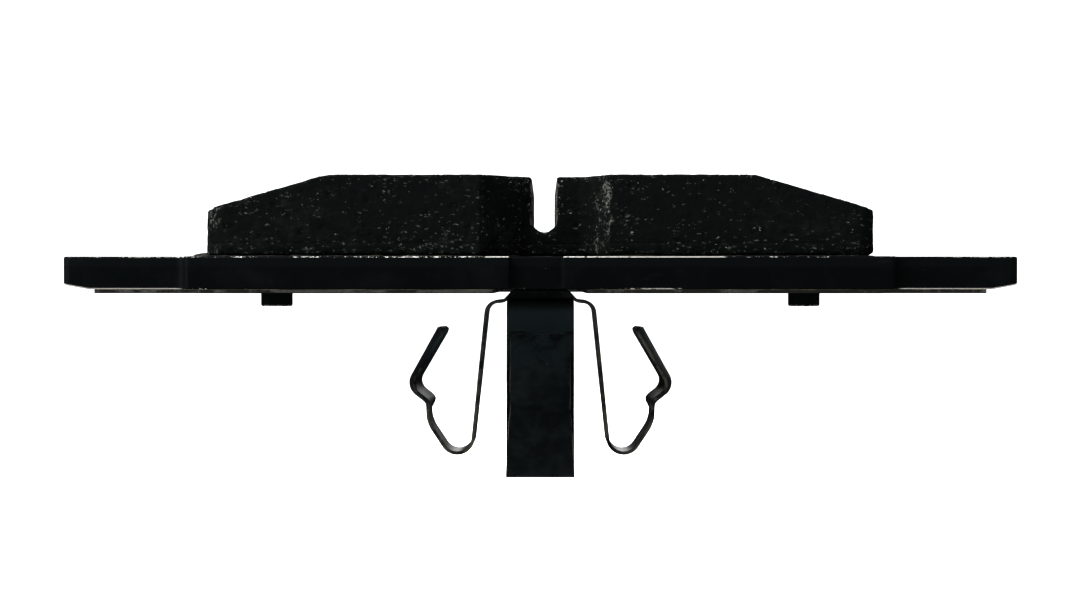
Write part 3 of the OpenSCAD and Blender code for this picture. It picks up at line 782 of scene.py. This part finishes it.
class BentLine:
    """A line of [out, up] points with rounded corners, each with its heading.

    A third number says how far inside a bend the point is, scaled by the wear and painted highlight that
    the bend gets."""

    def __init__(self, start, heading):
        self.places = [np.array(start, float)]
        self.headings = [np.array(heading, float)]
        self.bends = [0.0]

    def add(self, place, heading, bend):
        self.places.append(place)
        self.headings.append(heading)
        self.bends.append(bend)

    def run_to(self, end, stations):
        """A straight run, with points at the given shares of its length."""
        start = self.places[-1]
        heading = unit(end - start)
        for share in stations:
            self.add(start + (end - start) * share, heading, 0.0)

    def turn(self, corner, after, radius, spacing, wear_and_highlight=1):
        """A straight run up to a corner, and the arc that rounds it, which gets rubbed and a painted
        highlight.
        """
        way_in = unit(corner - self.places[-1])
        way_out = unit(after - corner)
        side = math.copysign(1, way_in[0] * way_out[1] - way_in[1] * way_out[0])
        angle = math.acos(np.clip(way_in @ way_out, -1, 1))
        start = corner - way_in * radius * math.tan(angle / 2)
        count = max(1, round(np.linalg.norm(start - self.places[-1]) / spacing))
        self.run_to(start, [(k + 1) / count for k in range(count)])
        centre = start + turned(way_in, side * math.pi / 2) * radius
        steps = max(6, round(angle * radius / spacing))
        for k in range(1, steps + 1):
            swing = side * angle * k / steps
            # Wear and painted highlight, strongest in the middle of the arc.
            rubbed = wear_and_highlight * math.sin(math.pi * k / steps)
            self.add(centre + turned(start - centre, swing), turned(way_in, swing), rubbed)


def finger_line(clip, own, spacing):
    """Middle line of a finger from its butt to its tip.

    With it go its slope at the butt and the place where its flexing length ends. The last stations
    are crowded for the head's round corners."""
    elbow = np.array([clip.elbow_out, -clip.elbow_drop])
    shoulder = np.array([clip.shoulder_out, -clip.shoulder_drop])
    slope = unit(shoulder - elbow)
    fold = np.array([clip.fold_out, -own.fold_drop])
    bow = np.array([clip.bow_out, -clip.bow_drop])
    neck = np.array([clip.neck_out, -clip.neck_drop])
    kink = np.array([clip.kink_out, -clip.kink_drop])
    tip = np.array([clip.tip_out, -own.tip_drop])
    line = BentLine(elbow + slope * (clip.butt - clip.elbow_out) / slope[0], slope)
    line.turn(shoulder, fold, clip.shoulder_radius, spacing)
    leg = line.places[-1] + line.headings[-1] * clip.flex
    line.turn(fold, bow, own.fold_radius, spacing)
    line.turn(bow, neck, clip.bow_radius, spacing, wear_and_highlight=0)
    line.turn(neck, kink, clip.neck_radius, spacing, wear_and_highlight=0.3)
    line.turn(kink, tip, clip.kink_radius, spacing, wear_and_highlight=0.2)
    rest = np.linalg.norm(tip - line.places[-1])
    plain = round((rest - clip.corner) / spacing)
    stations = [(rest - clip.corner) / rest * (k + 1) / plain for k in range(plain)]
    crowd = 12
    swings = [math.pi / 2 * (k + 1) / crowd for k in range(crowd)]
    stations += [1 - clip.corner / rest * (1 - math.sin(swing)) for swing in swings]
    line.run_to(tip, stations)
    return line, slope, leg


def finger_width(clip, own, place, outer):
    """Width of the strip at a place on its inner or outer run."""
    drop = -place[1]
    taper_end = own.fold_drop - 2.6 * own.fold_radius
    if not outer:
        return float(np.interp(drop, [clip.leg_drop, taper_end], [own.root, own.fold]))
    if drop > clip.head_drop:
        return float(np.interp(drop, [clip.head_drop, taper_end], [own.neck, own.fold]))
    left = 1 - min(1, (clip.head_drop - drop) / clip.flare)
    return own.neck + (own.head - own.neck) * math.sqrt(1 - left * left)


def section(width, thickness, edge, half=6, turns=3):
    """Points round a strip's cross-section as (across, off, mark), with 1 for a rounded edge's mark.

    With them go the number of points across one face and round one edge."""
    flat = width / 2 - edge
    support = flat - 0.1 * MM
    across = [-flat] + list(np.linspace(-support, support, 2 * half - 1)) + [flat]
    wall = thickness / 2 - edge
    corner = [(math.cos(a), math.sin(a)) for a in np.linspace(math.pi / 2, 0, turns + 1)]
    right = [(flat + edge * c, wall + edge * s) for c, s in corner[1:]]
    right += [(c, -s) for c, s in reversed(right)]
    top = [(a, thickness / 2, 0) for a in across]
    bottom = [(a, -thickness / 2, 0) for a in reversed(across)]
    right_edge = [(c, s, 1) for c, s in right]
    left_edge = [(-c, -s, 1) for c, s in right]
    return top + right_edge + bottom + left_edge, len(across), len(right)


def finger_mesh(name, clip, own, heading, spacing):
    """A finger as one bent strip. Its head is curved round the clip's axis, as the piston's wall is."""
    line, _, _ = finger_line(clip, own, spacing)
    lengths = [0] + list(np.cumsum([np.linalg.norm(b - a) for a, b in zip(line.places, line.places[1:])]))
    lowest = min(range(len(line.places)), key=lambda k: line.places[k][1])
    out = np.array([math.cos(heading), math.sin(heading)])
    side = np.array([-out[1], out[0]])
    bm = bmesh.new()
    curl_from = clip.head_drop + clip.curl_lead
    rows, edges, bends = [], [], []
    for k, (place, along, bend) in enumerate(zip(line.places, line.headings, line.bends)):
        outer = k > lowest
        left = lengths[-1] - lengths[k]
        inset = clip.corner - math.sqrt(max(0, clip.corner ** 2 - max(0, clip.corner - left) ** 2))
        pinch = clip.edge - math.sqrt(max(0, clip.edge ** 2 - max(0, clip.edge - left) ** 2))
        width = finger_width(clip, own, place, outer) - 2 * inset - 2 * pinch
        points, columns, corner = section(width, clip.strip - 2 * pinch, clip.edge - 0.9 * pinch)
        curl = float(between(curl_from + place[1], 0, clip.flare + clip.curl_lead)) if outer else 0
        off_axis = turned(along, math.pi / 2)
        row = []
        for across, off, mark in points:
            radius, height = place + off_axis * off
            swing = across / place[0]
            reach = radius * (1 - curl + curl * math.cos(swing))
            shift = across * (1 - curl) + curl * radius * math.sin(swing)
            row.append(bm.verts.new((*(out * reach + side * shift), height)))
            # Rounded edges and the tip's end are marked for the cut edge colour, which is also a painted
            # highlight.
            edges.append(max(mark, float(left < clip.edge)))
            bends.append(bend)
        rows.append(row)
    count = len(rows[0])
    for lower, upper in zip(rows, rows[1:]):
        for k in range(count):
            bm.faces.new((lower[k], lower[(k + 1) % count], upper[(k + 1) % count], upper[k]))
    for row in (rows[0], rows[-1]):
        bottom = columns + corner
        for k in range(columns - 1):
            bm.faces.new((row[k], row[k + 1], row[bottom + columns - 2 - k], row[bottom + columns - 1 - k]))
        bm.faces.new(row[columns - 1:bottom + 1])
        bm.faces.new(row[bottom + columns - 1:] + [row[0]])
    obj = object_of(name, bm)
    # The edge marks take the cut edge colour and the bend marks the worn oxide, both also painted
    # highlights.
    paint(obj, "edge", edges)
    paint(obj, "bend", bends)
    obj.data.shade_smooth()
    return obj


# Operators ---------------------------------------------------------------------------------------

class BRAKEPAD_OT_plate(Operator):
    """Build the coated backing plate with its rounded rims and its two pips"""
    bl_idname = "brakepad.plate"
    bl_label = "Backing plate"

    def execute(self, context):
        look = context.scene.brake_pad.plate
        plate = object_of("coated_plate", joined("backing_plate"))
        soften(plate, look.rim)
        fit(plate, PAD, coated_steel(look), "plate_coating", "backing_plate")
        return {"FINISHED"}


class BRAKEPAD_OT_lining(Operator):
    """Build the friction block with its grain, pits and chipped edges, on its underlayer and film"""
    bl_idname = "brakepad.lining"
    bl_label = "Lining"

    def execute(self, context):
        look = context.scene.brake_pad.lining
        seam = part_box("friction_block")[0].z
        pieces = (("friction_lining", "friction_block", "friction", -look.lap, 1.0),
                  ("lining_underlayer", "underlayer", "underlayer", look.lap, 1.2))
        for name, node, slot, lap, dust in pieces:
            piece = object_of(name, joined(node))
            stretch_to(piece, seam, seam + lap)
            roughen(piece, look, seam, LINING_SEED)
            fit(piece, PAD, compound(slot, look, dust), slot, node)
        refinish("bonding_film", resin("bonding", look))
        return {"FINISHED"}


class BRAKEPAD_OT_flash(Operator):
    """Build the resin flash that moulding squeezes out round the lining's foot"""
    bl_idname = "brakepad.flash"
    bl_label = "Moulding flash"

    def execute(self, context):
        look = context.scene.brake_pad.lining
        plate_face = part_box("backing_plate")[1].z
        film_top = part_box("bonding_film")[1].z
        spacing = 0.35 * MM
        line = evenly(outline_at("underlayer", film_top + 0.5 * MM), spacing)
        ahead = np.roll(line, -1, 0) - np.roll(line, 1, 0)
        ahead /= np.linalg.norm(ahead, axis=1)[:, None]
        outward = np.column_stack([ahead[:, 1], -ahead[:, 0]])
        spots = np.column_stack([line, np.zeros(len(line))])
        ragged = noise_at(spots, 3.1 * MM, FLASH_SEED) + 0.7 * noise_at(spots, 1.1 * MM, FLASH_SEED + 6)
        lump_at = line[:, 0].min(), line[:, 1].min() + 3.2 * MM
        lump_reach = 1.3 * MM
        lump = np.exp(-np.sum((line - lump_at) ** 2, axis=1) / lump_reach ** 2)
        width = look.flash * np.clip(1 + 1.1 * ragged, 0.12, 3) + look.flash_lump * lump
        height = look.flash_height * np.clip(1 + ragged, 0.3, 2) + 0.5 * MM * lump
        # A point is a distance outward in mm, a share of the width outward and a share of the height up.
        profile = [(-0.4, 0, 0.0), (-0.4, 0, 1.25), (0, 0.0, 1.1), (0, 0.45, 0.9),
                   (0, 0.8, 0.62), (0, 0.96, 0.3), (0, 1.0, 0.0)]
        bm = bmesh.new()
        rings = []
        for point, way, w, h in zip(line, outward, width, height):
            rings.append([bm.verts.new((*(point + way * (inside * MM + share * w)), plate_face + rise * h))
                          for inside, share, rise in profile])
        for ring, following in zip(rings, rings[1:] + rings[:1]):
            for k in range(len(profile)):
                after = (k + 1) % len(profile)
                bm.faces.new((ring[k], following[k], following[after], ring[after]))
        flash = object_of("moulding_flash", bm)
        flash.data.shade_smooth()
        fit(flash, PAD, resin("flash_resin", look), "bonding")
        return {"FINISHED"}


class BRAKEPAD_OT_shim(Operator):
    """Finish the three layers of the shim"""
    bl_idname = "brakepad.shim"
    bl_label = "Shim"

    def execute(self, context):
        look = context.scene.brake_pad.shim
        refinish("shim_adhesive", shim_glue(look))
        refinish("shim_core", shim_sheet(look))
        refinish("shim_rubber", shim_rubber(look))
        return {"FINISHED"}


class BRAKEPAD_OT_clip(Operator):
    """Build the clip: its seat, and three fingers with smoothly rounded shoulder bends"""
    bl_idname = "brakepad.clip"
    bl_label = "Piston clip"

    def execute(self, context):
        settings = context.scene.brake_pad
        clip = settings.clip
        steel = spring_steel(clip, -settings.front.tip_drop)
        fingers = (("left", settings.side, math.pi), ("right", settings.side, 0),
                   ("front", settings.front, -math.pi / 2))
        seat = object_of("clip_seat", joined("clip_base"))
        soften(seat, clip.edge, angle=60)
        bm = bmesh.new()
        bm.from_mesh(seat.data)
        for name, own, heading in fingers:
            line, slope, leg = finger_line(clip, own, SPACING)
            butt = line.places[0]
            geometry = bm.verts[:] + bm.edges[:] + bm.faces[:]
            cut = bmesh.ops.bisect_plane(bm, geom=geometry, plane_co=placed(butt, heading),
                                         plane_no=placed(slope, heading), clear_outer=True)
            rim = [e for e in cut["geom_cut"] if isinstance(e, bmesh.types.BMEdge)]
            bmesh.ops.contextual_create(bm, geom=rim)
            finger = finger_mesh(name + "_clip_finger", clip, own, heading, SPACING)
            finger.data.materials.append(steel)
            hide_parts(name + "_finger")
            placed(butt + slope * clip.blend_lead, heading)
            placed(leg, heading)
            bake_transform(finger)
        bm.to_mesh(seat.data)
        bm.free()
        normals = read(seat.data.vertices, "normal", 3)
        # The seat's walls are marked for the cut edge colour, which also paints a brownish highlight round
        # them.
        paint(seat, "edge", 1 - between(np.abs(normals[:, 2]), 0.6, 0.85))
        fit(seat, PAD, steel, "spring_steel", "clip_base")
        return {"FINISHED"}


class BRAKEPAD_OT_rivet(Operator):
    """Build the rivet with its domed head, the dimple of its tool and its shank"""
    bl_idname = "brakepad.rivet"
    bl_label = "Rivet"

    def execute(self, context):
        look = context.scene.brake_pad.clip
        low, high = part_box("clip_rivet")
        head = high.x
        height = -look.strip - low.z
        shank = 2 * MM
        dome = (head ** 2 + height ** 2) / (2 * height)
        edge = 0.18 * MM
        dimple = 0.9 * MM
        sink = 0.16 * MM
        flare = 1.1 * MM
        tail = head - 0.15 * MM
        profile = [(0, low.z + sink)]
        profile += [(dimple * k / 4, low.z + sink * (1 - (k / 4) ** 2)) for k in range(1, 4)]
        for k in range(13):
            radius = dimple + (head - edge - dimple) * k / 12
            profile.append((radius, low.z + dome - math.sqrt(dome ** 2 - radius ** 2)))
        profile += [(head - edge * (1 - math.sin(a)), -look.strip - edge * math.cos(a)) for a in (0.8, 1.2)]
        profile += [(head, -look.strip), (shank, -look.strip), (shank, high.z - flare),
                    (tail, high.z), (0, high.z)]
        rivet = lathe("clip_rivet_head", profile)
        rivet.data.shade_smooth()
        fit(rivet, PAD, rivet_steel(look), "rivet_steel", "clip_rivet")
        return {"FINISHED"}


class BRAKEPAD_OT_stage(Operator):
    """Build the pale floor, the soft light and the camera"""
    bl_idname = "brakepad.stage"
    bl_label = "Stage"

    def execute(self, context):
        scene = context.scene
        look = scene.brake_pad.stage
        bm = bmesh.new()
        bmesh.ops.create_grid(bm, x_segments=1, y_segments=1, size=look.floor_half)
        for corner in bm.verts:
            corner.co.z = -look.floor_drop
        floor = object_of("studio_floor", bm)
        floor.data.materials.append(pale_floor(look))
        floor.visible_glossy = False
        self.light("key_sun", "SUN", place=(-0.5, -0.42, 0.9), aim=(0, 0, 0), energy=3.6,
                   angle=math.radians(38))
        self.light("left_softbox", "AREA", place=(-0.62, -0.26, 0.16), aim=(0, -0.02, 0.008), energy=1.5,
                   size=0.32)
        self.light("back_softbox", "AREA", place=(0.12, 0.85, 0.42), aim=(0, 0, 0.01), energy=5.0,
                   size=0.6)
        self.world(scene)
        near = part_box("friction_block")[0].y
        aim = Vector((0, near, -look.aim_drop))
        level = math.cos(look.elevation)
        back = Vector((math.sin(look.azimuth) * level, -math.cos(look.azimuth) * level,
                       math.sin(look.elevation)))
        data = bpy.data.cameras.new("camera")
        data.lens = look.lens
        data.clip_start = 0.01
        data.clip_end = 60
        camera = add_object("camera", data)
        camera.location = aim + back * look.distance
        camera.rotation_euler = (-back).to_track_quat("-Z", "Y").to_euler()
        scene.camera = camera
        scene.view_settings.view_transform = "Standard"
        scene.view_settings.look = "High Contrast"
        return {"FINISHED"}

    def light(self, name, kind, place, aim, energy, size=None, angle=None):
        """A soft lamp that the camera doesn't see."""
        data = bpy.data.lights.new(name, kind)
        data.energy = energy
        if angle is not None:
            data.angle = angle
        if size is not None:
            data.shape = "SQUARE"
            data.size = size
        lamp = add_object(name, data)
        lamp.location = place
        lamp.rotation_euler = (Vector(aim) - Vector(place)).to_track_quat("-Z", "Y").to_euler()
        lamp.visible_camera = False

    def world(self, scene):
        """White where the camera looks past the floor, dim as a source of light."""
        world = bpy.data.worlds.new("studio")
        scene.world = world
        world.use_nodes = True
        nodes, links = world.node_tree.nodes, world.node_tree.links
        seen = nodes.new("ShaderNodeLightPath")
        strength = nodes.new("ShaderNodeMapRange")
        strength.inputs["To Min"].default_value = SKY_LIGHT
        strength.inputs["To Max"].default_value = SKY_SEEN
        background = nodes["Background"]
        background.inputs["Color"].default_value = (1, 1, 1, 1)
        links.new(seen.outputs["Is Camera Ray"], strength.inputs["Value"])
        links.new(strength.outputs["Result"], background.inputs["Strength"])


class BRAKEPAD_PT_panel(Panel):
    """The steps that build the pad's looks"""
    bl_idname = "BRAKEPAD_PT_panel"
    bl_label = "Brake pad"
    bl_space_type = "VIEW_3D"
    bl_region_type = "UI"
    bl_category = "Brake pad"

    def draw(self, context):
        for step in STEPS:
            self.layout.operator(step.bl_idname)


STEPS = (BRAKEPAD_OT_plate, BRAKEPAD_OT_lining, BRAKEPAD_OT_flash, BRAKEPAD_OT_shim, BRAKEPAD_OT_clip,
         BRAKEPAD_OT_rivet, BRAKEPAD_OT_stage)
SETTINGS = (PlateSettings, LiningSettings, ShimSettings, ClipSettings, SideFingerSettings,
            FrontFingerSettings, StageSettings, BrakePadSettings)
CLASSES = SETTINGS + STEPS + (BRAKEPAD_PT_panel,)


def register():
    for cls in CLASSES:
        bpy.utils.register_class(cls)
    bpy.types.Scene.brake_pad = PointerProperty(type=BrakePadSettings)


def unregister():
    del bpy.types.Scene.brake_pad
    for cls in reversed(CLASSES):
        bpy.utils.unregister_class(cls)


def main():
    register()
    for step in STEPS:
        group, action = step.bl_idname.split(".")
        getattr(getattr(bpy.ops, group), action)()


if __name__ == "__main__":
    main()
